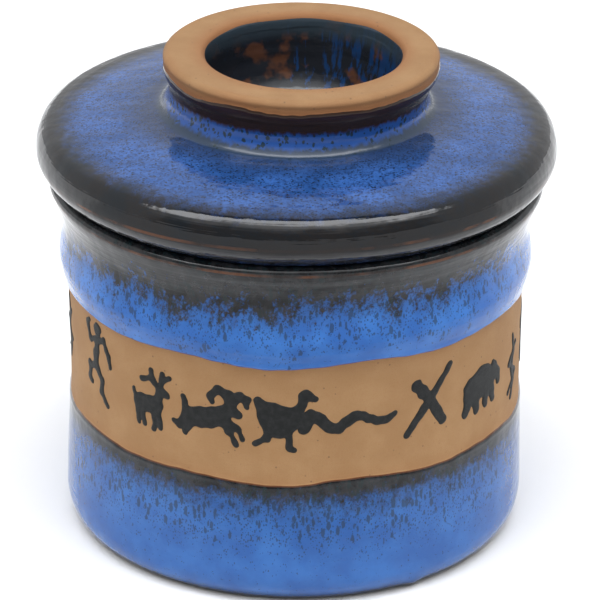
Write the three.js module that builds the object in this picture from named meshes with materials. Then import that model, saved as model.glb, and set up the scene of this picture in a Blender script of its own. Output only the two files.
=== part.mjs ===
// A two-piece stoneware butter crock: a water pot, and a lid that carries an open-mouthed bell hanging
// inside the pot. Butter is packed in the bell, a little water in the pot closes its mouth, and the ring on
// top of the lid is both the knob and the foot that the lid stands on when it is turned over.
// Millimetres, +Z up, origin at the middle of the pot's standing ring.
import * as THREE from "three";

// ---- driving dimensions ----
const SEGMENTS = 48; // facets round the axis
const ARC_STEPS = 4; // segments in each small rounding

// Pot, outside
const FOOT_OUT_R = 46.4; // standing ring, outer radius
const FOOT_IN_R = 40.5; // standing ring, inner radius
const FOOT_H = 2.2; // depth of the hollow inside the standing ring
const HEEL_H = 5.2; // height at which the rounded heel meets the wall
const BELLY_R = 50.5; // widest of the lower wall
const BAND_R = 49.8; // wall where the bare clay band runs
const BAND_TOP_Z = 57; // top of the bare clay band
const BULGE_R = 51.6; // soft bulge of the collar above the band
const BULGE_Z = 62.8;
const WAIST_R = 50.9; // shallow waist above the bulge
const WAIST_Z = 69.3;
const LIP_R = 53.9; // flared lip
const LIP_Z = 79.5; // height of the lip's widest line
const SEAT_Z = 81; // top of the pot and underside of the lid, where the two meet
const SEAT_IN_R = 47.6; // flat seat, inner radius
const SEAT_OUT_R = 51.6; // flat seat, outer radius

// Pot, inside
const POT_IN_R = 44.8;
const POT_FLOOR_Z = 8;
const POT_CORNER_R = 6; // rounding where the wall meets the floor

// Lid
const LID_R = 56.5; // widest line of the lid's rolled rim
const LID_WIDEST_Z = 86.5;
const LID_SHOULDER_R = 51.3; // where the flat top rolls over into the rim
const LID_TOP_Z = 92.9; // height of the top at that shoulder
const LID_RISE = 2.7; // how much the top rises from the shoulder to the neck
const LID_BOSS_Z = 85; // underside of the lid's middle, where the bell is joined
const LID_GROOVE_Z = 88; // roof of the hollow between the bell and the rim
const LID_GROOVE_R = 46.6; // outer radius of that roof
const LID_LAND_IN_R = 48.4; // flat land under the rim, inner radius
const LID_LAND_OUT_R = 52; // flat land under the rim, outer radius

// Foot ring on the lid
const NECK_R = 28.1; // neck below the ring
const NECK_FILLET = 3.2; // sweep from the neck into the lid's top
const RING_JOIN_Z = 99.8; // level at which the ring is joined to the lid's neck
const RING_OUT_R = 29.9;
const RING_IN_R = 20.9;
const RING_TOP_Z = 108.4;
const RING_OUT_EDGE_R = 1.6; // rounding of the ring's outer edge
const RING_IN_EDGE_R = 1.2; // rounding of its inner edge
const RECESS_FLOOR_Z = 90; // bottom of the glazed hollow inside the ring
const RECESS_CORNER_R = 5.5;

// Butter bell
const BELL_TOP_R = 38.6; // outer radius where it joins the lid
const BELL_MOUTH_R = 37.2; // outer radius at the mouth
const BELL_WALL = 4.6;
const BELL_MOUTH_Z = 17;

const QUARTER = Math.PI / 2;

// ---- profile helpers: every profile is a list of (radius, height) points ----
const at = (r, z) => new THREE.Vector2(r, z);

// Points of a rounding of radius e about (r, z), from one angle to another. The last point is included.
function rounding(r, z, e, from, to, steps = ARC_STEPS) {
  const points = [];
  for (let i = 0; i <= steps; i++) {
    const a = from + ((to - from) * i) / steps;
    points.push(at(r + e * Math.cos(a), z + e * Math.sin(a)));
  }
  return points;
}

// A smooth stretch through a few guiding points, cut into the given number of steps.
function smooth(guides, steps) {
  return new THREE.SplineCurve(guides).getPoints(steps);
}

// A solid of revolution about +Z. The profile runs from axis to axis, or closes on itself.
function turned(name, profile, material) {
  const geometry = new THREE.LatheGeometry(profile, SEGMENTS);
  geometry.rotateX(QUARTER);
  const mesh = new THREE.Mesh(geometry, material);
  mesh.name = name;
  return mesh;
}

// ---- materials ----
const blueGlaze = new THREE.MeshStandardMaterial({ color: 0x3f6fb5, roughness: 0.18, metalness: 0 });
const bareClay = new THREE.MeshStandardMaterial({ color: 0xb78f66, roughness: 0.85, metalness: 0 });

// ---- the pot ----
// A thrown cylinder with a rounded heel on a low standing ring, a straight band, a soft bulge and waist,
// and a lip that flares out under the lid.
function pot() {
  const heel = smooth(
    [
      at(FOOT_OUT_R, 0),
      at(FOOT_OUT_R + 2.1, 1.7),
      at(BELLY_R - 0.6, HEEL_H - 1.2),
      at(BELLY_R, HEEL_H + 2.5),
    ],
    5,
  );
  const wall = smooth(
    [at(BELLY_R, 15), at((BELLY_R + BAND_R) / 2, 28), at(BAND_R, 41), at(BAND_R + 0.2, BAND_TOP_Z - 1)],
    4,
  );
  const collar = smooth(
    [
      at(BAND_R + 0.8, BAND_TOP_Z + 1.2),
      at(BULGE_R, BULGE_Z),
      at(WAIST_R, WAIST_Z),
      at((WAIST_R + LIP_R) / 2, LIP_Z - 4),
      at(LIP_R, LIP_Z),
    ],
    10,
  );
  const lip = smooth([at(LIP_R - 0.6, SEAT_Z - 0.5), at(SEAT_OUT_R, SEAT_Z)], 1);
  const throat = smooth(
    [
      at(SEAT_IN_R, SEAT_Z),
      at(SEAT_IN_R - 1.3, SEAT_Z - 0.9),
      at(POT_IN_R + 0.4, SEAT_Z - 4),
      at(POT_IN_R, SEAT_Z - 10),
    ],
    4,
  );
  const cornerR = POT_IN_R - POT_CORNER_R;
  const floorCorner = rounding(cornerR, POT_FLOOR_Z + POT_CORNER_R, POT_CORNER_R, 0, -QUARTER);
  return [
    at(0, FOOT_H),
    at(FOOT_IN_R - 1.2, FOOT_H),
    at(FOOT_IN_R, 0),
    ...heel,
    ...wall,
    ...collar,
    ...lip,
    ...throat,
    ...floorCorner,
    at(0, POT_FLOOR_Z),
  ];
}

// ---- the lid ----
// A nearly flat top with a fat rolled rim, closed in the middle by the floor of the ring's recess, and
// swept up into a short neck that takes the ring. Its underside is hollowed round the bell.
function lidFlange() {
  const neckFoot = at(NECK_R + NECK_FILLET, LID_TOP_Z + LID_RISE);
  const underside = [
    at(0, LID_BOSS_Z),
    at(BELL_TOP_R + 0.9, LID_BOSS_Z),
    at(BELL_TOP_R + 2.4, LID_GROOVE_Z),
    at(LID_GROOVE_R, LID_GROOVE_Z),
    at(LID_LAND_IN_R - 0.4, SEAT_Z + 1),
    at(LID_LAND_IN_R, SEAT_Z),
    at(LID_LAND_OUT_R, SEAT_Z),
  ];
  const rim = smooth(
    [
      at(LIP_R + 0.1, SEAT_Z + 1.3),
      at(LID_R - 1.2, LID_WIDEST_Z - 2.8),
      at(LID_R, LID_WIDEST_Z),
      at(LID_R - 0.7, LID_WIDEST_Z + 3),
      at(LID_SHOULDER_R + 2.1, LID_TOP_Z - 0.9),
      at(LID_SHOULDER_R, LID_TOP_Z),
    ],
    10,
  );
  const top = [at((LID_SHOULDER_R + neckFoot.x) / 2, LID_TOP_Z + LID_RISE * 0.58)];
  const sweep = rounding(neckFoot.x, neckFoot.y + NECK_FILLET, NECK_FILLET, -QUARTER, -2 * QUARTER);
  const recessR = RING_IN_R - 0.3 - RECESS_CORNER_R;
  const recess = rounding(recessR, RECESS_FLOOR_Z + RECESS_CORNER_R, RECESS_CORNER_R, 0, -QUARTER);
  return [
    ...underside,
    ...rim,
    ...top,
    ...sweep,
    at(RING_IN_R, RING_JOIN_Z),
    ...recess,
    at(0, RECESS_FLOOR_Z - 0.4),
  ];
}

// The ring: knob of the lid, and its foot when the lid is turned over. Its flat top is bare clay.
function footRing() {
  const side = smooth(
    [at(NECK_R, RING_JOIN_Z), at(NECK_R + 0.3, RING_JOIN_Z + 1.4), at(RING_OUT_R - 0.3, RING_JOIN_Z + 4)],
    3,
  );
  const outerEdge = rounding(
    RING_OUT_R - RING_OUT_EDGE_R,
    RING_TOP_Z - RING_OUT_EDGE_R,
    RING_OUT_EDGE_R,
    0,
    QUARTER,
  );
  const innerEdge = rounding(
    RING_IN_R + RING_IN_EDGE_R,
    RING_TOP_Z - RING_IN_EDGE_R,
    RING_IN_EDGE_R,
    QUARTER,
    2 * QUARTER,
  );
  return [...side, ...outerEdge, ...innerEdge, at(RING_IN_R, RING_JOIN_Z), at(NECK_R, RING_JOIN_Z)];
}

// The bell: a bottomless thrown cup joined by its upper edge to the lid's underside, mouth down.
function butterBell() {
  const lip = BELL_WALL / 2;
  const mouth = rounding(BELL_MOUTH_R - lip, BELL_MOUTH_Z + lip, lip, -2 * QUARTER, 0, 6);
  const middleR = (BELL_TOP_R + BELL_MOUTH_R) / 2;
  const middleZ = (LID_BOSS_Z + BELL_MOUTH_Z) / 2;
  return [
    at(BELL_TOP_R - BELL_WALL, LID_BOSS_Z),
    at(middleR - BELL_WALL, middleZ),
    ...mouth,
    at(middleR, middleZ),
    at(BELL_TOP_R, LID_BOSS_Z),
    at(BELL_TOP_R - BELL_WALL, LID_BOSS_Z),
  ];
}

// ---- the assembly ----
const lid = new THREE.Group();
lid.add(
  turned("lid_flange", lidFlange(), blueGlaze),
  turned("lid_foot_ring", footRing(), bareClay),
  turned("butter_bell", butterBell(), blueGlaze),
);

const crock = new THREE.Group();
crock.add(turned("crock_pot", pot(), blueGlaze), lid);

export default crock;
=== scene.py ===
"""The looks of a stoneware butter crock: fine turned meshes with a thick uneven glaze, a bare clay band
with raised slip figures, and the studio round it. Shapes are in millimetres until they become meshes."""

import math

import bpy
import numpy as np
from mathutils import Matrix, Vector


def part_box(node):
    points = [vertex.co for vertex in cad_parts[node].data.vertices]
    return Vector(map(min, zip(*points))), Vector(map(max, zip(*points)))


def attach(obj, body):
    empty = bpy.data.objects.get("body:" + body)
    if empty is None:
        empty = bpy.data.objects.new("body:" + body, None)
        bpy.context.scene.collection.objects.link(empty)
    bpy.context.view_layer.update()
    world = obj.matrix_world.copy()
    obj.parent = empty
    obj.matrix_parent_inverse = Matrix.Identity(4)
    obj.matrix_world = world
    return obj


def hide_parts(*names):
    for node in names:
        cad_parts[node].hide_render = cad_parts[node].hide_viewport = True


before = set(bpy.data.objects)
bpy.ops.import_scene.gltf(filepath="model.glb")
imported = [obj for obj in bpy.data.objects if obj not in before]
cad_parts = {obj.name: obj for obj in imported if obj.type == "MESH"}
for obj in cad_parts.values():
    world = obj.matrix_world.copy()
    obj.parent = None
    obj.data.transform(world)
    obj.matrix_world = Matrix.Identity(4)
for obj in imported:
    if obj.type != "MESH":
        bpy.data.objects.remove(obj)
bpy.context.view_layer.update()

MM = 0.001

# ---- sizes taken from the frame, in millimetres ----
SEAT_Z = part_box("crock_pot")[1].z / MM
RING_TOP_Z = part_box("lid_foot_ring")[1].z / MM
RING_JOIN_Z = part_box("lid_foot_ring")[0].z / MM
RING_OUT_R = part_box("lid_foot_ring")[1].x / MM
LID_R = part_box("lid_flange")[1].x / MM
LIP_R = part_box("crock_pot")[1].x / MM
BELL_MOUTH_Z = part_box("butter_bell")[0].z / MM
BELL_TOP_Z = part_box("butter_bell")[1].z / MM
BELL_TOP_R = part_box("butter_bell")[1].x / MM

# ---- sizes of the looks, in millimetres ----
FOOT_OUT_R = 46.4  # standing ring
FOOT_IN_R = 40.5
FOOT_H = 2.2
POT_IN_R = 44.8
PARTING_R = 46.2  # a radius inside the wall, beyond which everything is the pot's outside
POT_FLOOR_Z = 8
POT_CORNER_R = 6
SEAT_IN_R = 47.6
SEAT_OUT_R = 51.6
BAND_LOW_Z = 29.5  # lower edge of the bare band
BAND_HIGH_Z = 56.5  # upper edge of the bare band
BAND_MIDDLE_Z = 42.0
BAND_R = 49.8  # wall at the band
GLAZE_COAT = 0.28  # thickness of the glaze where it stops beside bare clay
NECK_R = 28.1  # neck below the ring
RING_IN_R = 20.9
GLAZE_LINE_Z = 105.5  # where the glaze stops below the ring's bare top
INNER_LINE_Z = 107.4  # and where it stops on the ring's inner edge
RING_SHIFT = 0.9  # how far the ring sits off the axis, as it was joined on by hand
HOLE_SHIFT = 0.5  # how far its hole is off its own middle
RECESS_FLOOR_Z = 89.9
BELL_WALL = 4.6
BELL_MOUTH_R = 37.2
SLIP = 0.2  # height of the slip figures above the clay
BRUSH = 1.4  # how full the brush was, against the strokes as listed

# ---- finishes ----
GLAZE_IOR = 1.43  # the same on every piece
POT_ROUGHNESS = 0.07
LID_ROUGHNESS = 0.06
NECK_ROUGHNESS = 0.22
CLAY_ROUGHNESS = 0.77
SLIP_ROUGHNESS = 0.55

ROUND = 720  # segments round the pot and the lid
SEED = 7


# ---- curves and meshes ----
def catmull(points, step=0.35):
    """A smooth line through the points, resampled so that its points lie about step apart."""
    p = np.array(points, float)
    p = np.vstack([2 * p[0] - p[1], p, 2 * p[-1] - p[-2]])
    t = np.linspace(0, 1, 40, endpoint=False)[:, None]
    runs = []
    for a, b, c, d in zip(p, p[1:], p[2:], p[3:]):
        square = 2 * a - 5 * b + 4 * c - d
        cube = 3 * b - a - 3 * c + d
        runs.append(0.5 * (2 * b + (c - a) * t + square * t**2 + cube * t**3))
    runs.append(p[-2][None])
    return resample(np.vstack(runs), step)


def resample(line, step=0.35):
    """The same line with its points an even distance apart."""
    lengths = np.hypot(*np.diff(line, axis=0).T)
    along = np.concatenate([[0], np.cumsum(lengths)])
    count = max(2, int(round(along[-1] / step)) + 1)
    even = np.linspace(0, along[-1], count)
    return np.column_stack([np.interp(even, along, line[:, k]) for k in (0, 1)])


def straight(a, b, step=0.35):
    return resample(np.array([a, b], float), step)


def arc(centre, radius, start, end, step=0.25):
    """Part of a circle, from one angle to another in degrees."""
    count = max(3, int(abs(math.radians(end - start)) * radius / step) + 1)
    a = np.radians(np.linspace(start, end, count))
    return np.column_stack([centre[0] + radius * np.cos(a), centre[1] + radius * np.sin(a)])


def joined(*runs):
    """Runs of points as one line, without the points that repeat where two runs meet."""
    line = [runs[0]]
    for run in runs[1:]:
        skip = 1 if np.hypot(*(run[0] - line[-1][-1])) < 0.02 else 0
        line.append(run[skip:])
    return np.vstack(line)


class Ripple:
    """A smooth uneven field over a turned surface: waves round the axis and along the profile."""

    def __init__(self, seed, around, along, size, count=24):
        rng = np.random.default_rng(seed)
        self.m = rng.integers(around[0], around[1] + 1, count)
        self.k = rng.uniform(along[0], along[1], count) * rng.choice([-1, 1], count)
        self.q = rng.uniform(along[0], along[1], count)
        self.phase = rng.uniform(0, 2 * math.pi, count)
        self.size = size * math.sqrt(2 / count)

    def __call__(self, phi, r, z):
        total = 0.0
        for m, k, q, phase in zip(self.m, self.k, self.q, self.phase):
            total = total + np.cos(m * phi + k * z + q * r + phase)
        return self.size * total


HAND = Ripple(SEED, (0, 4), (0.03, 0.14), 0.07)  # the hand's slow unevenness
POOL = Ripple(SEED + 1, (3, 16), (0.1, 0.45), 0.022)  # the glaze's own faster waves
EDGE = Ripple(SEED + 2, (1, 9), (0, 0), 0.22)  # wandering of a glaze edge
CRISP = Ripple(SEED + 3, (12, 60), (0, 0), 0.055)  # and its small nicks


def smoothstep(x, low, high):
    t = np.clip((x - low) / (high - low), 0, 1)
    return t * t * (3 - 2 * t)


def outward(profile, closed):
    """The profile's unit normals, pointing out of the solid."""
    ahead = np.roll(profile, -1, 0) if closed else np.vstack([profile[1:], profile[-1:]])
    behind = np.roll(profile, 1, 0) if closed else np.vstack([profile[:1], profile[:-1]])
    along = ahead - behind
    along /= np.maximum(np.hypot(*along.T), 1e-9)[:, None]
    return np.column_stack([along[:, 1], -along[:, 0]])


def stitch(rings, closed):
    """Faces between neighbouring rings of vertex numbers. A ring of one vertex is a pole on the axis."""
    pairs = list(zip(rings, rings[1:]))
    if closed:
        pairs.append((rings[-1], rings[0]))
    faces = []
    for a, b in pairs:
        count = max(len(a), len(b))
        for s in range(count):
            t = (s + 1) % count
            if len(a) == 1:
                faces.append((a[0], b[t], b[s]))
            elif len(b) == 1:
                faces.append((a[s], a[t], b[0]))
            else:
                faces.append((a[s], a[t], b[t], b[s]))
    return faces


def turned(name, profile, segments, offset, closed=False, attributes=None):
    """A turned mesh. profile is a line of (radius, height); it starts and ends on the axis, or is closed.
    offset(phi, r, z) moves the surface along its normal. attributes are functions of the same three."""
    phi = np.arange(segments) * 2 * math.pi / segments
    P, R = np.meshgrid(phi, profile[:, 0])
    _, Z = np.meshgrid(phi, profile[:, 1])
    normal = outward(profile, closed)
    move = offset(P, R, Z)
    out = R + move * normal[:, :1]
    up = Z + move * normal[:, 1:]
    rows = np.stack([out * np.sin(P), -out * np.cos(P), up], -1) * MM
    verts, rings = [], []
    for i, row in enumerate(rows):
        pole = not closed and i in (0, len(rows) - 1)
        points = [(0, 0, row[:, 2].mean())] if pole else row.tolist()
        rings.append(range(len(verts), len(verts) + len(points)))
        verts.extend(points)
    piece = mesh_piece(name, verts, stitch(rings, closed))
    for key, rule in (attributes or {}).items():
        fields = zip(rings, rule(P, R, Z))
        values = [[field.mean()] if len(ring) == 1 else field for ring, field in fields]
        layer = piece.data.attributes.new(key, "FLOAT", "POINT")
        layer.data.foreach_set("value", np.concatenate(values).astype(np.float32))
    return piece


def mesh_piece(name, verts, faces, crease=38):
    mesh = bpy.data.meshes.new(name)
    mesh.from_pydata(verts, [], faces)
    mesh.validate()
    mesh.polygons.foreach_set("use_smooth", [True] * len(mesh.polygons))
    mesh.set_sharp_from_angle(angle=math.radians(crease))
    piece = bpy.data.objects.new(name, mesh)
    bpy.context.scene.collection.objects.link(piece)
    return piece


# ---- the pot ----
def glaze_edge(phi, z):
    """Height above the nearer edge of the bare band, in millimetres: above 0 on glaze, below 0 on clay."""
    drip = -0.2 * np.exp(-((wrap(phi - 0.02) / 0.05) ** 2))
    step = 0.2 * np.tanh(wrap(phi - 0.10) / 0.03) * np.exp(-((wrap(phi - 0.1) / 0.3) ** 2))
    wander = EDGE(phi, 0, 0) + CRISP(phi, 0, 0)
    other = EDGE(phi + 2.1, 0, 0) + CRISP(phi + 1.3, 0, 0)
    high = BAND_HIGH_Z + wander - drip
    low = BAND_LOW_Z + other + step
    return np.maximum(z - high, low - z)


def wrap(phi):
    """An angle brought between minus and plus half a turn."""
    return (phi + math.pi) % (2 * math.pi) - math.pi


def coat(edge):
    """The step up from bare clay to glaze, with the bead that a glaze draws up at its edge."""
    rise = smoothstep(edge, -0.05, 0.5)
    bead = np.exp(-(((edge - 0.7) / 0.5) ** 2))
    return GLAZE_COAT * rise + 0.09 * bead * (edge > 0)


def pot_offset(phi, r, z):
    inside = r < PARTING_R
    wall = smoothstep(z, 0.2, 2.5) * (1 - smoothstep(z, SEAT_Z - 1.2, SEAT_Z - 0.3))
    surface = (HAND(phi, r, z) + POOL(phi, r, z)) * wall
    glaze = coat(glaze_edge(phi, z)) - GLAZE_COAT
    foot_drip = 0.55 * np.exp(-((wrap(phi - 0.56) / 0.045) ** 2) - ((z - 1.6) / 1.3) ** 2)
    return np.where(inside, surface * 0.6, surface + glaze * wall + foot_drip * (r > 44))


POT_WALL = catmull(
    [
        (FOOT_OUT_R, 0), (47.3, 0.45), (48.7, 1.9), (49.9, 3.9), (50.45, 6.8), (50.4, 12), (50.15, 21),
        (49.9, 29.5), (BAND_R, 38), (49.85, 47), (49.95, 53.7), (50.3, 56.8), (51.2, 60.0), (51.6, 62.8),
        (51.25, 66.2), (50.95, 69.3), (51.4, 72.6), (52.6, 76.1), (53.55, 78.3), (LIP_R, 79.5),
        (53.55, 80.4), (52.7, 80.9),
    ],
)


def pot_foot():
    return joined(
        straight((0, FOOT_H), (39.3, FOOT_H), 1.5),
        arc((39.3, FOOT_H - 0.6), 0.6, 90, 20, 0.2),
        straight((40.2, 0.5), (FOOT_IN_R, 0.0), 0.3),
        straight((FOOT_IN_R, 0), (FOOT_OUT_R, 0), 0.8),
    )


def pot_inside():
    seat = [(SEAT_OUT_R, SEAT_Z), (SEAT_IN_R, SEAT_Z)]
    throat = [*seat, (46.3, 80.1), (45.3, 77.4), (44.85, 73), (POT_IN_R, 66)]
    corner = (POT_IN_R - POT_CORNER_R, POT_FLOOR_Z + POT_CORNER_R)
    return joined(
        catmull(throat, 0.5),
        straight((POT_IN_R, 66), (POT_IN_R, corner[1]), 0.8),
        arc(corner, POT_CORNER_R, 0, -90, 0.6),
        straight((corner[0], POT_FLOOR_Z), (0, POT_FLOOR_Z), 1.2),
    )


def build_pot():
    lip = straight(POT_WALL[-1], (SEAT_OUT_R, SEAT_Z))
    profile = joined(pot_foot(), POT_WALL, lip, pot_inside())
    edge = {"edge": lambda phi, r, z: glaze_edge(phi, z)}
    pot = turned("pot_shell", profile, ROUND, pot_offset, attributes=edge)
    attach(pot, "crock")
    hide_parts("crock_pot")
    return pot


# ---- the lid ----
def ring_line(phi):
    return GLAZE_LINE_Z + 0.7 * EDGE(phi + 0.8, 0, 0) + CRISP(phi, 0, 0)


def lid_offset(phi, r, z):
    free = smoothstep(z, SEAT_Z + 0.1, SEAT_Z + 2.0)
    middle = smoothstep(r, 2, 12)
    join = 1 - np.exp(-(((z - RING_JOIN_Z) / 0.8) ** 2))
    return (HAND(phi, r, z) + 0.6 * POOL(phi, r, z)) * free * middle * join


def lid_underside():
    hollow = [(39.5, BELL_TOP_Z), (40.0, 86.8), (41.6, 87.9), (43.6, 88.1), (46.2, 87.6), (47.6, 85.6)]
    return joined(
        straight((0, BELL_TOP_Z), hollow[0], 1.5),
        catmull([*hollow, (48.1, 82.6)], 0.6),
        arc((49.0, 81.9), 0.9, 180, 270, 0.3),
        straight((49.0, SEAT_Z), (51.4, SEAT_Z), 0.8),
    )


def lid_outside():
    return catmull(
        [
            (51.4, SEAT_Z), (52.6, 81.3), (54.0, 82.3), (55.3, 83.7), (56.15, 85.1), (LID_R, 86.5),
            (56.4, 88.1), (56.0, 89.7), (55.2, 91.2), (53.9, 92.3), (51.8, 92.9), (48.5, 93.4), (44, 94.05),
            (39, 94.7), (34, 95.15), (31, 95.45), (29.6, 96.0), (28.7, 97.2), (28.2, 98.4),
            (NECK_R, RING_JOIN_Z),
        ],
        0.32,
    )


def lid_recess():
    wall = [(RING_IN_R, RING_JOIN_Z), (20.75, 97.4), (20.2, 94.8), (18.6, 92.0)]
    bowl = [*wall, (15.6, 90.4), (11, RECESS_FLOOR_Z)]
    return joined(
        straight((NECK_R, RING_JOIN_Z), (RING_IN_R, RING_JOIN_Z), 1.5),
        catmull(bowl, 0.5),
        straight((11, RECESS_FLOOR_Z), (0, RECESS_FLOOR_Z - 0.3), 0.9),
    )


def build_flange():
    profile = joined(lid_underside(), lid_outside(), lid_recess())
    flange = turned("lid_flange_glazed", profile, ROUND, lid_offset)
    lean(flange)
    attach(flange, "lid")
    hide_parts("lid_flange")
    return flange


def ring_offset(phi, r, z):
    clay = smoothstep(z, ring_line(phi) - 0.5, ring_line(phi) + 0.1)
    outside = r > 24
    step = -0.22 * clay * outside * (1 - smoothstep(z, 106.6, 107.6))
    return lid_offset(phi, r, z) * (1 - 0.75 * clay) + step


def lean(piece):
    """Moves the neck and the ring a little to one side, and the ring's hole a little further."""
    count = len(piece.data.vertices)
    co = np.empty(count * 3)
    piece.data.vertices.foreach_get("co", co)
    co = co.reshape(-1, 3)
    r, z = np.hypot(co[:, 0], co[:, 1]) / MM, co[:, 2] / MM
    whole = RING_SHIFT * smoothstep(z, RING_JOIN_Z - 4, RING_JOIN_Z + 4) * (r < 33)
    hole = HOLE_SHIFT * smoothstep(z, RING_JOIN_Z + 1, RING_TOP_Z - 1) * (1 - smoothstep(r, 21, 27))
    co[:, 0] += (whole + hole) * MM
    piece.data.vertices.foreach_set("co", co.ravel())
    piece.data.update()


def ring_edge(phi, r, z):
    """Depth below the nearer edge of the ring's bare top, in millimetres: below 0 on the bare clay."""
    outer = ring_line(phi) - z - 0.6 * np.maximum(0, 28.5 - r)
    inner = INNER_LINE_Z + 0.3 * EDGE(phi, 0, 0) - z - 0.6 * np.maximum(0, r - 21.5)
    return np.maximum(outer, inner)


def ring_outside():
    return catmull(
        [
            (NECK_R, RING_JOIN_Z), (28.2, 101), (28.75, 102.4), (29.5, 103.8), (29.85, 105.1),
            (RING_OUT_R, 106.8),
        ],
        0.25,
    )


def ring_inside():
    bare = [(23.0, RING_TOP_Z), (22.1, 108.25), (21.45, 107.75)]
    edge = [*bare, (21.1, 106.9), (20.95, 105.4), (RING_IN_R, 103.6)]
    return joined(
        catmull(edge, 0.15),
        straight((RING_IN_R, 103.6), (RING_IN_R, RING_JOIN_Z), 0.4),
        straight((RING_IN_R, RING_JOIN_Z), (NECK_R, RING_JOIN_Z), 1.5),
    )


def build_ring():
    edge_r = RING_OUT_R - 28.3
    edge = arc((28.3, RING_TOP_Z - edge_r), edge_r, 0, 90, 0.2)
    top = straight((28.3, RING_TOP_Z), (23.0, RING_TOP_Z), 0.4)
    profile = joined(ring_outside(), edge, top, ring_inside())[:-1]
    ring = turned("lid_ring_foot", profile, 600, ring_offset, closed=True, attributes={"edge": ring_edge})
    lean(ring)
    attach(ring, "lid")
    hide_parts("lid_foot_ring")
    return ring


def bell_offset(phi, r, z):
    return 1.2 * HAND(phi, r, z) + 1.5 * POOL(phi, r, z)


def build_bell():
    inner_top = BELL_TOP_R - BELL_WALL
    lip = BELL_WALL / 2
    profile = joined(
        straight((inner_top, BELL_TOP_Z), (BELL_MOUTH_R - BELL_WALL, BELL_MOUTH_Z + lip), 0.8),
        arc((BELL_MOUTH_R - lip, BELL_MOUTH_Z + lip), lip, 180, 360, 0.3),
        straight((BELL_MOUTH_R, BELL_MOUTH_Z + lip), (BELL_TOP_R, BELL_TOP_Z), 0.8),
        straight((BELL_TOP_R, BELL_TOP_Z), (inner_top, BELL_TOP_Z), 1.5),
    )[:-1]
    bell = turned("bell_cup", profile, 480, bell_offset, closed=True)
    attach(bell, "lid")
    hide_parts("butter_bell")
    return bell


# ---- the slip figures: brush strokes given as (x, y, half width) in millimetres ----
def runner():
    return [
        [(0.0, 5.2, 0.8), (-0.5, 1.8, 0.85), (-0.4, -1.2, 0.8)],
        [(0.3, 7.6, 1.15), (0.5, 7.9, 1.1)],
        [(-0.1, 4.9, 0.55), (-3.0, 4.6, 0.5), (-4.3, 8.0, 0.5), (-3.2, 9.0, 0.45)],
        [(0.1, 4.9, 0.55), (2.6, 6.0, 0.5), (4.6, 3.0, 0.55), (5.2, 0.6, 0.45)],
        [(-0.4, -1.0, 0.7), (-3.4, -1.8, 0.6), (-3.6, -5.0, 0.6), (-2.6, -5.6, 0.5)],
        [(-0.4, -1.0, 0.75), (2.0, -3.6, 0.6), (1.6, -6.6, 0.55), (3.8, -9.0, 0.55)],
    ]


def stag():
    return [
        [(-2.4, -1.4, 1.55), (1.6, -1.2, 1.5)],
        [(1.9, -0.6, 0.9), (2.9, 2.6, 0.75)],
        [(2.9, 2.8, 0.8), (4.6, 2.0, 0.65)],
        [(2.6, 3.2, 0.45), (0.2, 4.8, 0.5), (-2.2, 4.3, 0.5)],
        [(1.2, 4.2, 0.42), (0.6, 6.8, 0.55)],
        [(3.0, 3.4, 0.42), (3.6, 6.8, 0.5)],
        [(3.3, 5.2, 0.4), (5.2, 6.2, 0.5)],
        [(-3.3, -2.0, 0.6), (-3.0, -6.4, 0.5)],
        [(-2.0, -2.4, 0.55), (-1.5, -6.2, 0.45)],
        [(1.3, -2.2, 0.6), (1.3, -6.6, 0.5)],
        [(2.4, -1.8, 0.55), (2.9, -6.3, 0.45)],
        [(-3.7, -0.8, 0.5), (-4.6, 1.2, 0.42)],
    ]


def goat():
    return [
        [(-4.0, -1.0, 1.7), (-0.6, -0.7, 1.75), (2.6, 0.5, 1.55)],
        [(3.0, 0.8, 1.2), (4.6, 2.2, 0.95), (6.4, 1.1, 0.8)],
        [(4.4, 2.8, 0.65), (4.6, 5.4, 0.8), (2.2, 6.4, 0.75), (0.4, 4.8, 0.6), (0.9, 3.4, 0.45)],
        [(5.0, 2.8, 0.6), (6.8, 5.4, 0.75), (8.4, 4.8, 0.65), (8.5, 3.2, 0.5)],
        [(-4.8, -1.2, 1.0), (-7.0, -3.4, 0.6), (-8.2, -3.2, 0.5)],
        [(-3.8, -2.0, 0.8), (-5.4, -5.2, 0.5)],
        [(2.4, -0.4, 0.8), (5.0, -3.4, 0.5), (6.2, -6.0, 0.45)],
        [(3.2, 0.0, 0.8), (6.8, -2.6, 0.5), (7.6, -4.6, 0.42)],
        [(-5.2, 0.2, 0.6), (-5.9, 3.2, 0.5)],
    ]


def bird():
    return [
        [(-3.2, 1.6, 1.9), (-1.2, -0.2, 2.9), (1.6, 0.2, 1.9)],
        [(-4.2, 2.2, 1.3), (-5.6, 4.4, 0.7)],
        [(2.2, 1.0, 1.1), (3.8, 3.6, 0.7), (4.2, 5.4, 0.75)],
        [(4.5, 5.8, 1.05), (6.6, 5.0, 0.5)],
        [(-2.2, -2.2, 0.6), (-3.8, -4.6, 0.5), (-6.0, -5.8, 0.5)],
        [(1.0, -2.0, 0.6), (1.2, -6.6, 0.5), (2.2, -7.0, 0.4)],
    ]


def serpent():
    body = []
    for x in np.linspace(-9.4, 9.8, 22):
        bend = 1.9 * (1 - 0.035 * (x + 9))
        body.append((x, bend * math.sin(0.62 * x + 0.5), 0.95 - 0.024 * (x + 9)))
    return [body, [(-9.6, 0.2, 1.15), (-10.2, -1.2, 1.0)]]


def crossing():
    return [
        [(-5.6, -6.8, 0.62), (-1.2, -1.4, 0.8), (5.6, 7.2, 0.55)],
        [(-3.4, 4.4, 1.05), (0.0, 0.4, 0.95), (3.6, -5.4, 0.9)],
    ]


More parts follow.
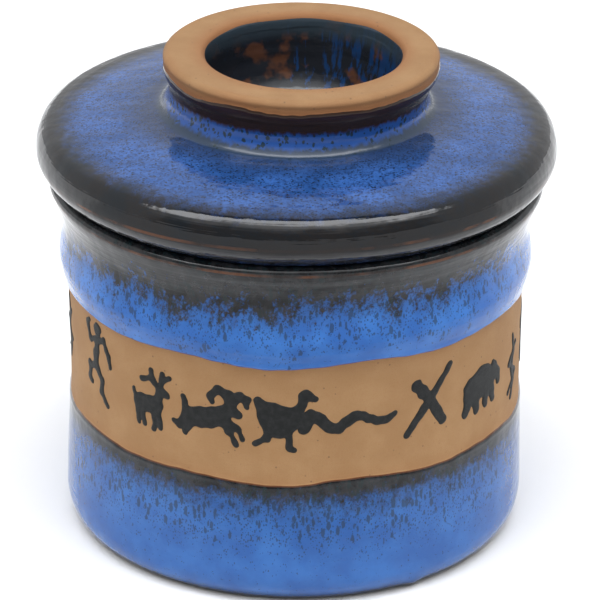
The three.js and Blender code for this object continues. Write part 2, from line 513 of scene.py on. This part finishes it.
def bear():
    return [
        [(-3.2, 0.2, 2.5), (0.6, 1.1, 2.7), (3.2, 1.0, 2.0)],
        [(4.8, 1.8, 1.5), (6.6, 0.4, 0.85), (7.0, -1.6, 0.6)],
        [(4.6, 3.0, 0.6), (4.4, 4.0, 0.5)],
        [(-4.6, -1.4, 1.15), (-5.8, -4.6, 0.85)],
        [(-2.2, -1.6, 1.1), (-2.0, -4.8, 0.8)],
        [(1.8, -1.0, 1.0), (1.4, -4.6, 0.75)],
        [(3.8, -0.6, 1.0), (4.4, -4.4, 0.75)],
    ]


def branch():
    trunk = [(-0.8, -7.4, 0.5), (0.9, -3.9, 0.55), (-0.7, -0.4, 0.55), (0.9, 3.3, 0.55), (-0.2, 7.4, 0.42)]
    places = ((1, -4), (-1, -0.6), (1, 2.9))
    twigs = [[(s * -2.6, y - 1.6, 0.42), (s * 2.4, y + 1.7, 0.42)] for s, y in places]
    return [trunk, *twigs]


def spiral():
    turns = np.linspace(0.4, 2.4 * 2 * math.pi, 60)
    return [[(0.36 * a * math.cos(a), 0.36 * a * math.sin(a), 0.5) for a in turns]]


# Each figure's drawing, its place round the pot in degrees from the front, its height, and how it faces.
FIGURES = [
    (branch, -81, 46.6, 1), (runner, -59, 46.1, 1), (stag, -38.5, 43.8, 1), (goat, -21.5, 43.6, 1),
    (bird, -2.5, 44.2, 1), (serpent, 14, 43.4, 1), (crossing, 35.5, 44.6, 1), (bear, 54.5, 42.6, 1),
    (branch, 72.5, 41.1, 1), (goat, 93, 43.1, -1), (spiral, 113, 43.6, 1), (runner, 130, 44.1, -1),
    (stag, 149, 43.2, -1), (serpent, 171, 42.6, -1), (bird, 194, 43.8, -1), (crossing, 213, 43.6, -1),
    (bear, 233, 43.1, -1), (spiral, 257, 43.6, -1),
]


def stroke_field(strokes, x, y):
    """Distance outside the strokes, below 0 inside them, with their meetings softened."""
    near = []
    for line in strokes:
        for (ax, ay, ar), (bx, by, br) in zip(line, line[1:]):
            dx, dy = bx - ax, by - ay
            t = np.clip(((x - ax) * dx + (y - ay) * dy) / (dx * dx + dy * dy), 0, 1)
            near.append(np.hypot(x - ax - t * dx, y - ay - t * dy) - (ar + t * (br - ar)))
    soft = 0.22
    return -soft * np.log(sum(np.exp(-np.clip(d, -4, 12) / soft) for d in near))


def wall_radius(phi, z):
    flat = np.interp(z, POT_WALL[:, 1], POT_WALL[:, 0])
    return flat + pot_offset(phi, flat, z)


def drawn_field(figure, facing, seed):
    """The figure on a fine grid: the grid's x and y, and the distance outside the strokes."""
    step, margin = 0.2, 2.6
    strokes = [[(facing * x, y, BRUSH * w) for x, y, w in line] for line in figure()]
    xs = [x for line in strokes for x, _, _ in line]
    ys = [y for line in strokes for _, y, _ in line]
    gx = np.arange(min(xs) - margin, max(xs) + margin, step)
    gy = np.arange(min(ys) - margin, max(ys) + margin, step)
    X, Y = np.meshgrid(gx, gy)
    brush = Ripple(seed, (0, 0), (0.6, 2.4), 0.09)
    return X, Y, stroke_field(strokes, X, Y) + brush(0, X, Y)


def cut_cells(X, Y, field):
    """The grid's cells inside the figure, cut along its outline: points (x, y, depth inside) and faces."""
    corners = [(0, 0), (0, 1), (1, 1), (1, 0)]
    points, index, faces = [], {}, []

    def vertex(key, x, y, depth):
        if key not in index:
            index[key] = len(points)
            points.append((x, y, depth))
        return index[key]

    hit = field < 0
    for i, j in np.argwhere(hit[:-1, :-1] | hit[1:, :-1] | hit[:-1, 1:] | hit[1:, 1:]):
        loop = []
        ids = [(i + a, j + b) for a, b in corners]
        for p, q in zip(ids, ids[1:] + ids[:1]):
            if hit[p]:
                loop.append(vertex(p, X[p], Y[p], -field[p]))
            if hit[p] != hit[q]:
                t = field[p] / (field[p] - field[q])
                key = (min(p, q), max(p, q))
                loop.append(vertex(key, X[p] + t * (X[q] - X[p]), Y[p] + t * (Y[q] - Y[p]), 0.0))
        if len(loop) > 2:
            faces.append(loop)
    return np.array(points), faces


def slip_patch(figure, middle, height, facing, seed):
    """One figure as a closed skin of slip on the pot's wall."""
    flat, faces = cut_cells(*drawn_field(figure, facing, seed))
    phi = math.radians(middle) + flat[:, 0] / BAND_R
    z = height + flat[:, 1]
    lift = SLIP * np.sqrt(np.clip(flat[:, 2] / 0.5, 0, 1))
    wall = wall_radius(phi, z)
    skins = (wall + lift, wall - 0.25)
    shell = [np.column_stack([r * np.sin(phi), -r * np.cos(phi), z]) * MM for r in skins]
    count = len(flat)
    edges = dict.fromkeys((a, b) for loop in faces for a, b in zip(loop, loop[1:] + loop[:1]))
    rim = [(a, b) for a, b in edges if (b, a) not in edges]
    back = [[v + count for v in reversed(loop)] for loop in faces]
    sides = [[b, a, a + count, b + count] for a, b in rim]
    return np.vstack(shell), faces + back + sides


def build_figures():
    verts, faces = [], []
    for n, (figure, middle, height, facing) in enumerate(FIGURES):
        shell, loops = slip_patch(figure, middle, height, facing, SEED + 20 + n)
        start = sum(len(v) for v in verts)
        verts.append(shell)
        faces.extend([[v + start for v in loop] for loop in loops])
    slip = mesh_piece("band_figures", np.vstack(verts).tolist(), faces, crease=60)
    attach(slip, "crock")
    return slip


# ---- materials ----
class Nodes:
    """The nodes of a material or of the world. Each method adds a node and returns its output."""

    def __init__(self, owner):
        owner.use_nodes = True
        self.nodes = owner.node_tree.nodes
        self.links = owner.node_tree.links

    def put(self, socket, value):
        if isinstance(value, bpy.types.NodeSocket):
            self.links.new(value, socket)
        elif socket.type == "RGBA" and not isinstance(value, float):
            socket.default_value = (*value, 1.0)
        else:
            socket.default_value = value

    def parts(self, vector):
        n = self.nodes.new("ShaderNodeSeparateXYZ")
        self.put(n.inputs[0], vector)
        return n.outputs

    def math(self, operation, a, b=0.0):
        n = self.nodes.new("ShaderNodeMath")
        n.operation = operation
        self.put(n.inputs[0], a)
        self.put(n.inputs[1], b)
        return n.outputs[0]

    def vector(self, operation, a, b=None, scale=None):
        n = self.nodes.new("ShaderNodeVectorMath")
        n.operation = operation
        self.put(n.inputs[0], a)
        if b is not None:
            self.put(n.inputs[1], b)
        if scale is not None:
            self.put(n.inputs["Scale"], scale)
        return n.outputs[0]

    def fade(self, value, low, high, start=0.0, end=1.0):
        """A smooth step: start below low, end above high."""
        n = self.nodes.new("ShaderNodeMapRange")
        n.interpolation_type = "SMOOTHSTEP"
        for k, v in zip((0, 1, 2, 3, 4), (value, low, high, start, end)):
            self.put(n.inputs[k], v)
        return n.outputs[0]

    def noise(self, vector, scale, detail, rough=0.55, offset=0.0):
        n = self.nodes.new("ShaderNodeTexNoise")
        if offset:
            vector = self.vector("ADD", vector, (offset, offset * 0.7, -offset))
        self.put(n.inputs["Vector"], vector)
        self.put(n.inputs["Scale"], scale)
        self.put(n.inputs["Detail"], detail)
        self.put(n.inputs["Roughness"], rough)
        return n.outputs[0]

    def cells(self, vector, scale, offset=0.0):
        """Distance to the nearest of many scattered points, and a random number for that point."""
        n = self.nodes.new("ShaderNodeTexVoronoi")
        if offset:
            vector = self.vector("ADD", vector, (offset, -offset, offset * 1.3))
        self.put(n.inputs["Vector"], vector)
        self.put(n.inputs["Scale"], scale)
        pick = self.nodes.new("ShaderNodeSeparateColor")
        self.links.new(n.outputs["Color"], pick.inputs[0])
        return n.outputs["Distance"], pick.outputs[0]

    def mix(self, share, a, b):
        """A number between a and b."""
        n = self.nodes.new("ShaderNodeMix")
        self.put(n.inputs[0], share)
        self.put(n.inputs[2], a)
        self.put(n.inputs[3], b)
        return n.outputs[0]

    def blend(self, share, a, b):
        n = self.nodes.new("ShaderNodeMix")
        n.data_type = "RGBA"
        self.put(n.inputs[0], share)
        self.put(n.inputs[6], a)
        self.put(n.inputs[7], b)
        return n.outputs[2]


class Graph(Nodes):
    """One material's nodes, with the piece's own coordinates in millimetres; r is the distance off axis."""

    def __init__(self, name):
        self.material = bpy.data.materials.new(name)
        super().__init__(self.material)
        self.shader = self.nodes["Principled BSDF"]
        self.shader.inputs["IOR"].default_value = GLAZE_IOR
        place = self.nodes.new("ShaderNodeTexCoord").outputs["Object"]
        self.mm = self.vector("SCALE", place, scale=1000)
        self.x, self.y, self.z = self.parts(self.mm)
        squares = [self.math("MULTIPLY", side, side) for side in (self.x, self.y)]
        self.r = self.math("SQRT", self.math("ADD", *squares))

    def attribute(self, name):
        n = self.nodes.new("ShaderNodeAttribute")
        n.attribute_name = name
        return n.outputs["Fac"]

    def streaked(self, stretch):
        """Coordinates that draw every pattern out along the height."""
        n = self.nodes.new("ShaderNodeCombineXYZ")
        self.put(n.inputs[0], self.x)
        self.put(n.inputs[1], self.y)
        self.put(n.inputs[2], self.math("MULTIPLY", self.z, stretch))
        return n.outputs[0]

    def bump(self, height, distance, strength, under=None):
        n = self.nodes.new("ShaderNodeBump")
        self.put(n.inputs["Height"], height)
        n.inputs["Distance"].default_value = distance
        n.inputs["Strength"].default_value = strength
        if under is not None:
            self.links.new(under, n.inputs["Normal"])
        return n.outputs[0]

    def finish(self, colour, roughness, normal):
        self.put(self.shader.inputs["Base Color"], colour)
        self.put(self.shader.inputs["Roughness"], roughness)
        self.put(self.shader.inputs["Normal"], normal)
        return self.material


BLACK = (0.004, 0.004, 0.005)
SLATE = (0.022, 0.022, 0.024)
UMBER = (0.16, 0.055, 0.018)  # glaze run thin over an edge
BLUE = (0.012, 0.080, 0.295)
SKY = (0.023, 0.121, 0.385)
NAVY = (0.010, 0.045, 0.15)
GREEN = (0.006, 0.018, 0.020)
CLAY = (0.302, 0.165, 0.069)
CLAY_LIGHT = (0.348, 0.200, 0.089)
CLAY_RUST = (0.27, 0.10, 0.03)
IRON = (0.09, 0.05, 0.03)
LID_BLUE = (0.012, 0.048, 0.165)
LID_SKY = (0.028, 0.090, 0.290)
LID_MOTTLE = (0.006, 0.018, 0.060)
LID_DOT = (0.004, 0.008, 0.013)
# painted shade, darkest on the lid's top next to the neck
LID_NECK_PAINTED_SHADE = (0.012, 0.018, 0.034)  # the lid's top close to the neck
RIM_DARK = (0.004, 0.006, 0.008)
RIM_BROWN = (0.008, 0.007, 0.007)
NECK_SLATE = (0.018, 0.033, 0.060)
NECK_BLUE = (0.012, 0.060, 0.24)
NECK_BROWN = (0.022, 0.010, 0.006)
RECESS_DARK = (0.011, 0.013, 0.017)
RECESS_BLUE = (0.008, 0.030, 0.090)
# painted reflection of the clay ring in the recess's glaze
RECESS_PAINTED_CLAY_REFLECTION = (0.075, 0.032, 0.018)
# painted grey reflection, lighter towards the recess's top edge
RECESS_PAINTED_GREY_REFLECTION = (0.030, 0.044, 0.056)
SLIP_DARK = (0.007, 0.008, 0.008)
SLIP_LIGHT = (0.018, 0.019, 0.019)
# floor colours: the whiter one is painted light that washes out the pot's shadow
FLOOR_PAINTED_LIGHT = (0.76, 0.76, 0.76)
FLOOR_DIM = (0.48, 0.48, 0.48)


def clay_colour(g, edge, tone, flush):
    """Bare stoneware: tan and sandy, flushed with rust beside the glaze, with a few small iron specks."""
    patch = g.noise(g.mm, 0.11, 3.0, 0.6)
    sand = g.noise(g.mm, 2.6, 4.0, 0.7)
    colour = g.blend(g.fade(patch, 0.3, 0.75), CLAY, CLAY_LIGHT)
    colour = g.blend(g.fade(sand, 0.45, 0.8, 0.0, 0.3), colour, CLAY_RUST)
    colour = g.blend(g.fade(edge, -3.6, 0.0, 0.0, flush), colour, CLAY_RUST)
    near, pick = g.cells(g.mm, 0.8)
    speck = g.math("MULTIPLY", g.fade(near, 0.10, 0.22, 1.0, 0.0), g.fade(pick, 0.86, 0.9))
    colour = g.blend(g.math("MULTIPLY", speck, 0.6), colour, IRON)
    return g.vector("SCALE", colour, scale=tone)


def specks(g, vector, scale, low, high, share, offset=0.0):
    """Scattered dots; share is how many of the cells hold one."""
    near, pick = g.cells(vector, scale, offset)
    ragged = g.math("MULTIPLY", g.math("SUBTRACT", g.noise(vector, scale * 3.0, 2.0), 0.5), 0.5)
    size = g.math("ADD", g.fade(pick, 0.0, 1.0, low, high), ragged)
    dot = g.fade(g.math("SUBTRACT", near, size), -0.08, 0.06, 1.0, 0.0)
    other = g.noise(g.mm, scale * 0.45, 3.0, 0.6, offset + 9.0)
    return g.math("MULTIPLY", dot, g.math("LESS_THAN", other, share))


def turning_lines(g, pitch):
    """Fine uneven rings left by the potter's fingers, about pitch millimetres apart."""
    n = g.nodes.new("ShaderNodeCombineXYZ")
    g.put(n.inputs[0], g.math("DIVIDE", g.r, pitch))
    g.put(n.inputs[1], g.math("DIVIDE", g.z, pitch))
    g.put(n.inputs[2], g.math("MULTIPLY", g.math("ADD", g.x, g.y), 0.035))
    return g.noise(n.outputs[0], 1.0, 2.0, 0.5)


def glaze_surface(g):
    lines = g.math("MULTIPLY", turning_lines(g, 1.3), g.fade(g.r, 48.0, 52.0, 0.25, 1.0))
    rings = g.bump(lines, 0.00022, 0.5)
    wave = g.bump(g.noise(g.mm, 0.16, 2.0), 0.0008, 0.3, rings)
    return g.bump(g.noise(g.mm, 0.9, 2.0), 0.00008, 0.25, wave)


def clay_surface(g):
    grain = g.noise(g.mm, 5.0, 4.0, 0.75)
    turning = g.noise(g.streaked(6.0), 0.35, 2.0)
    rings = g.bump(turning, 0.0001, 0.4)
    return g.bump(grain, 0.00016, 0.5, rings)


def line_at(g, height, half):
    """A thin level line, as where a glaze runs thin over an edge, broken here and there."""
    off = g.math("ABSOLUTE", g.math("SUBTRACT", g.z, height))
    broken = g.fade(g.noise(g.mm, 0.09, 3.0, offset=5.0), 0.42, 0.62, 0.1, 1.0)
    return g.math("MULTIPLY", g.fade(off, half * 0.4, half, 1.0, 0.0), broken)


def above_band(g):
    return g.math("GREATER_THAN", g.z, BAND_MIDDLE_Z)


def dark_depth(g):
    """How deep a point of the pot lies in a dark zone, in millimetres; below 0 outside the two zones."""
    sway = g.math("MULTIPLY", g.math("SUBTRACT", g.noise(g.streaked(0.25), 0.13, 2.0), 0.5), 16.0)
    facing = g.math("DIVIDE", g.y, g.r)
    collar_line = g.math("ADD", 68.2, g.math("MULTIPLY", facing, 2.2))
    collar_line = g.math("ADD", collar_line, g.math("MULTIPLY", g.x, 0.03))
    collar = g.math("ADD", g.math("SUBTRACT", g.z, collar_line), sway)
    heel = g.math("SUBTRACT", g.math("ADD", g.z, g.math("MULTIPLY", sway, 0.45)), 21.5)
    solid = g.fade(g.z, 24.5, 28.0, 0.0, 5.0)
    return g.mix(above_band(g), g.math("ADD", heel, solid), collar)


def clear_blue(g, depth, upper):
    """The pot's glaze where it is thick: blue in soft clouds, deeper towards the dark zones."""
    cloud = g.noise(g.mm, 0.14, 3.0, offset=4.0)
    blue = g.blend(g.fade(cloud, 0.3, 0.75), BLUE, SKY)
    blue = g.vector("SCALE", blue, scale=g.mix(upper, 1.0, 1.3))
    return g.blend(g.fade(depth, -3.0, 6.0, 0.0, 0.5), blue, NAVY)


def dark_share(g, drawn, depth, upper):
    """How far a point of the pot is covered by the brown black, from 0 to 1."""
    broad = g.math("MULTIPLY", g.noise(drawn, 0.5, 4.0, 0.72), 0.62)
    fine = g.math("MULTIPLY", g.noise(drawn, 1.7, 3.0, 0.7, offset=3.0), 0.38)
    mottle = g.math("ADD", g.math("ADD", broad, fine), g.math("MULTIPLY", depth, 0.028))
    return g.fade(mottle, g.mix(upper, 0.47, 0.52), g.mix(upper, 0.80, 0.69))


def green_dots(g, drawn, depth, upper):
    """Small and large dots, closer together towards the dark zones."""
    few = g.fade(depth, -14.0, -1.0, g.mix(upper, 0.42, 0.32), g.mix(upper, 0.64, 0.58))
    small = specks(g, drawn, 2.1, 0.15, 0.42, few)
    fewer = g.fade(depth, -13.0, -2.0, 0.24, g.mix(upper, 0.64, 0.57))
    large = specks(g, g.streaked(0.4), 0.95, 0.14, 0.48, fewer, 5.0)
    return g.math("MULTIPLY", g.math("MAXIMUM", small, large), 0.65)


def blue_glaze(g):
    """The pot's glaze: clear blue with dark green dots, running into brown black at the dark zones."""
    drawn = g.streaked(0.75)
    depth = dark_depth(g)
    upper = above_band(g)
    dark = g.blend(g.fade(g.noise(drawn, 0.4, 3.0, offset=8.0), 0.35, 0.65), BLACK, SLATE)
    colour = g.blend(dark_share(g, drawn, depth, upper), clear_blue(g, depth, upper), dark)
    return g.blend(green_dots(g, drawn, depth, upper), colour, GREEN)


def bare_parts(g, edge):
    """1 on the pot's bare clay: the band, and the underside with its standing ring."""
    outside = g.math("GREATER_THAN", g.r, PARTING_R)
    band = g.math("MULTIPLY", g.math("LESS_THAN", edge, 0.0), outside)
    under = g.math("MULTIPLY", g.math("LESS_THAN", g.z, 2.6), g.math("LESS_THAN", g.r, 46.6))
    return g.math("MAXIMUM", band, under)


def pot_material():
    g = Graph("pot_glaze")
    lip = g.math("MULTIPLY", line_at(g, 79.3, 0.45), 0.6)
    colour = g.blend(lip, blue_glaze(g), UMBER)
    edge = g.attribute("edge")
    thin = g.math("MULTIPLY", g.fade(edge, 0.0, 0.45, 1.0, 0.0), 0.7)
    colour = g.blend(thin, colour, UMBER)
    foot = g.fade(g.z, 0.4, 3.4, 1.0, 0.0)
    colour = g.blend(foot, colour, BLACK)
    bare = bare_parts(g, edge)
    colour = g.blend(bare, colour, clay_colour(g, edge, 1.0, 0.15))
    return two_surfaces(g, bare, colour)


def two_surfaces(g, bare, colour):
    """Finishes a material that is smooth glaze, or rough clay where bare is 1."""
    roughness = g.mix(bare, POT_ROUGHNESS, CLAY_ROUGHNESS)
    normal = g.nodes.new("ShaderNodeMix")
    normal.data_type = "VECTOR"
    g.put(normal.inputs[0], bare)
    g.put(normal.inputs[4], glaze_surface(g))
    g.put(normal.inputs[5], clay_surface(g))
    return g.finish(colour, roughness, normal.outputs[1])


def lid_blue(g, cloud):
    mottle = g.noise(g.mm, 1.2, 4.0, 0.75, offset=6.0)
    blue = g.blend(g.fade(cloud, 0.3, 0.75), LID_BLUE, LID_SKY)
    return g.blend(g.fade(mottle, 0.44, 0.66, 0.0, 0.8), blue, LID_MOTTLE)


def lid_rim(g):
    """How far a point of the lid is covered by the rim's brown black, from 0 to 1."""
    ragged = g.math("MULTIPLY", g.math("SUBTRACT", g.noise(g.mm, 0.45, 4.0, 0.65), 0.5), 7.0)
    start = g.math("SUBTRACT", 49.2, g.math("MULTIPLY", g.math("DIVIDE", g.y, g.r), 2.8))
    return g.fade(g.math("SUBTRACT", g.math("ADD", g.r, ragged), start), -4.0, 3.4)


def neck_colour(g):
    """The neck below the ring: blue with dark drops, slate below it and brown above."""
    drips = g.math("MULTIPLY", g.math("SUBTRACT", g.noise(g.streaked(0.35), 0.8, 2.0), 0.5), 2.2)
    level = g.math("ADD", g.z, drips)
    neck = g.blend(g.fade(level, 96.6, 97.8), NECK_SLATE, NECK_BLUE)
    drops = specks(g, g.streaked(0.7), 1.0, 0.20, 0.50, g.fade(level, 96.8, 99.0, 0.42, 0.70), 3.0)
    neck = g.blend(g.math("MULTIPLY", drops, 0.9), neck, GREEN)
    return g.blend(g.fade(level, 99.7, 101.0), neck, NECK_BROWN)


def lid_colour(g):
    """Speckled blue that turns to brown black on the rim, under the ring and in the recess."""
    cloud = g.noise(g.mm, 0.10, 3.0, offset=2.0)
    dark = g.blend(g.fade(cloud, 0.3, 0.6), RIM_DARK, RIM_BROWN)
    colour = g.blend(lid_rim(g), lid_blue(g, cloud), dark)
    dots = specks(g, g.mm, 1.7, 0.16, 0.45, 0.62)
    colour = g.blend(g.math("MULTIPLY", dots, 0.75), colour, LID_DOT)
    # painted shade: the lid's top darkens towards the neck
    colour = g.blend(g.fade(g.r, 31.0, 40.0, 0.65, 0.0), colour, LID_NECK_PAINTED_SHADE)
    round_neck = g.math("MULTIPLY", g.math("LESS_THAN", g.r, 31.4), g.fade(g.z, 95.4, 95.9))
    colour = g.blend(round_neck, colour, neck_colour(g))
    inside = g.math("MULTIPLY", g.math("LESS_THAN", g.r, 24.5), g.math("GREATER_THAN", g.z, 88.5))
    colour = g.blend(inside, colour, recess_colour(g))
    return g.blend(g.math("MULTIPLY", line_at(g, 86.2, 0.5), 0.5), colour, UMBER)


def recess_colour(g):
    """Inside the ring: near black with blue runs, orange patches of painted reflection of the clay ring,
    and painted grey reflection that lightens it towards the top edge.
    """
    runs = g.noise(g.streaked(0.15), 0.65, 4.0, 0.6, offset=7.0)
    runs = g.math("ADD", runs, g.math("MULTIPLY", g.x, 0.008))
    colour = g.blend(g.fade(runs, 0.58, 0.68), RECESS_DARK, RECESS_BLUE)
    # painted reflection: orange patches standing for the clay ring mirrored in the recess
    rust = g.noise(g.mm, 0.16, 3.0, offset=11.0)
    colour = g.blend(g.fade(rust, 0.54, 0.66), colour, RECESS_PAINTED_CLAY_REFLECTION)
    # painted reflection: the recess turns lighter grey towards its top edge, darker deeper down
    return g.blend(g.fade(g.z, 102.0, 105.5, 0.0, 0.85), colour, RECESS_PAINTED_GREY_REFLECTION)


def lid_material():
    g = Graph("lid_glaze")
    neck = g.math("MULTIPLY", g.math("LESS_THAN", g.r, 31.0), g.fade(g.z, 95.4, 96.0))
    return g.finish(lid_colour(g), g.mix(neck, LID_ROUGHNESS, NECK_ROUGHNESS), glaze_surface(g))


def ring_material():
    g = Graph("bare_clay")
    edge = g.attribute("edge")
    bare = g.math("LESS_THAN", edge, 0.0)
    return two_surfaces(g, bare, g.blend(bare, lid_colour(g), clay_colour(g, edge, 0.74, 0.8)))


def slip_material():
    g = Graph("black_slip")
    wash = g.noise(g.mm, 0.8, 3.0)
    colour = g.blend(g.fade(wash, 0.3, 0.8), SLIP_DARK, SLIP_LIGHT)
    g.shader.inputs["Specular IOR Level"].default_value = 0.3
    return g.finish(colour, SLIP_ROUGHNESS, clay_surface(g))


# ---- the studio ----
def build_floor():
    """A pale floor, whiter under the pot, behind it and close beside it, where that painted light washes
    out the pot's shadow; dimmer further out at the sides and in front.
    """
    half = 6.0
    corners = [(-half, -half, 0), (half, -half, 0), (half, half, 0), (-half, half, 0)]
    floor = mesh_piece("studio_floor", corners, [(0, 1, 2, 3)])
    g = Graph("studio_floor")
    # painted light: whiter floor close round the pot and behind it, dimmer further out at the sides and in
    # front
    sides = g.math("MULTIPLY", g.fade(g.r, 85.0, 160.0), g.fade(g.y, -20.0, 60.0, 1.0, 0.0))
    dim_floor = g.math("MAXIMUM", sides, g.fade(g.y, -105.0, -60.0, 1.0, 0.0))
    colour = g.blend(dim_floor, FLOOR_PAINTED_LIGHT, FLOOR_DIM)
    floor.data.materials.append(g.finish(colour, 0.7, clay_surface(g)))


def soft_light(name, place, aim, size, power):
    """A soft light that shapes the surfaces but doesn't show in the glaze."""
    light = bpy.data.lights.new(name, "AREA")
    light.shape = "RECTANGLE"
    light.size, light.size_y = size
    light.energy = power
    lamp = bpy.data.objects.new(name, light)
    lamp.location = place
    lamp.rotation_euler = (Vector(aim) - Vector(place)).to_track_quat("-Z", "Y").to_euler()
    lamp.visible_glossy = False
    bpy.context.scene.collection.objects.link(lamp)


TENT = 0.86  # brightness of the white tent
WINDOW = 8.0  # of the window in it
CARD = 2.6  # and of the card below the window


def between(s, value, low, low_end, high, high_end):
    """1 between low_end and high, fading to 0 at low and at high_end."""
    after = s.math("SUBTRACT", 1.0, s.fade(value, high, high_end))
    return s.math("MULTIPLY", s.fade(value, low, low_end), after)


def window_shape(s, x, front, z):
    """1 in the wide soft window above and in front, 0 outside it."""
    ahead = s.math("DIVIDE", front, z)
    across = s.math("DIVIDE", s.math("ABSOLUTE", x), z)
    deep = between(s, ahead, -0.01, 0.05, 0.32, 0.60)
    window = s.math("MULTIPLY", deep, s.fade(across, 0.7, 1.1, 1.0, 0.0))
    return s.math("MULTIPLY", window, s.fade(z, 0.05, 0.2))


def build_world():
    """A white tent, dimmer in front and dark overhead, with a bright card and a window in it."""
    world = bpy.data.worlds.new("studio")
    s = Nodes(world)
    x, y, z = s.parts(s.nodes.new("ShaderNodeTexCoord").outputs["Generated"])
    front = s.math("MULTIPLY", y, -1.0)
    tent = s.mix(s.fade(front, 0.30, 0.62), TENT, TENT * 0.38)
    tent = s.mix(s.fade(z, 0.90, 0.95), tent, 0.12)
    card = s.math("MULTIPLY", between(s, z, 0.35, 0.85, 0.89, 0.95), s.fade(front, 0.2, 0.4))
    tent = s.mix(card, tent, CARD)
    background = s.nodes["Background"]
    background.inputs["Color"].default_value = (0.97, 0.98, 1, 1)
    s.put(background.inputs["Strength"], s.mix(window_shape(s, x, front, z), tent, WINDOW))
    bpy.context.scene.world = world


def build_studio():
    build_floor()
    build_world()
    soft_light("front_fill", (-0.3, -1.3, 0.9), (0, 0, 0.05), (0.8, 0.8), 1.0)
    bpy.context.scene.view_settings.view_transform = "Standard"


def build_camera():
    """The view from the front, 25 degrees above, a metre off, through a long lens."""
    elevation, distance = math.radians(25.0), 1.0
    camera = bpy.data.cameras.new("camera")
    camera.lens = 272.2
    camera.shift_x = 0.00817
    camera.shift_y = 0.0295
    holder = bpy.data.objects.new("camera", camera)
    target = Vector((0, 0, 0.045))
    back = Vector((0, -math.cos(elevation), math.sin(elevation)))
    turn = (-back).to_track_quat("-Z", "Y").to_matrix() @ Matrix.Rotation(math.radians(0.45), 3, "Z")
    holder.matrix_world = Matrix.Translation(target + back * distance) @ turn.to_4x4()
    bpy.context.scene.collection.objects.link(holder)
    bpy.context.scene.camera = holder


def dress(piece, material):
    piece.data.materials.clear()
    piece.data.materials.append(material)


build_camera()
build_studio()
lid_glaze = lid_material()
dress(build_pot(), pot_material())
dress(build_flange(), lid_glaze)
dress(build_ring(), ring_material())
dress(build_bell(), lid_glaze)
dress(build_figures(), slip_material())
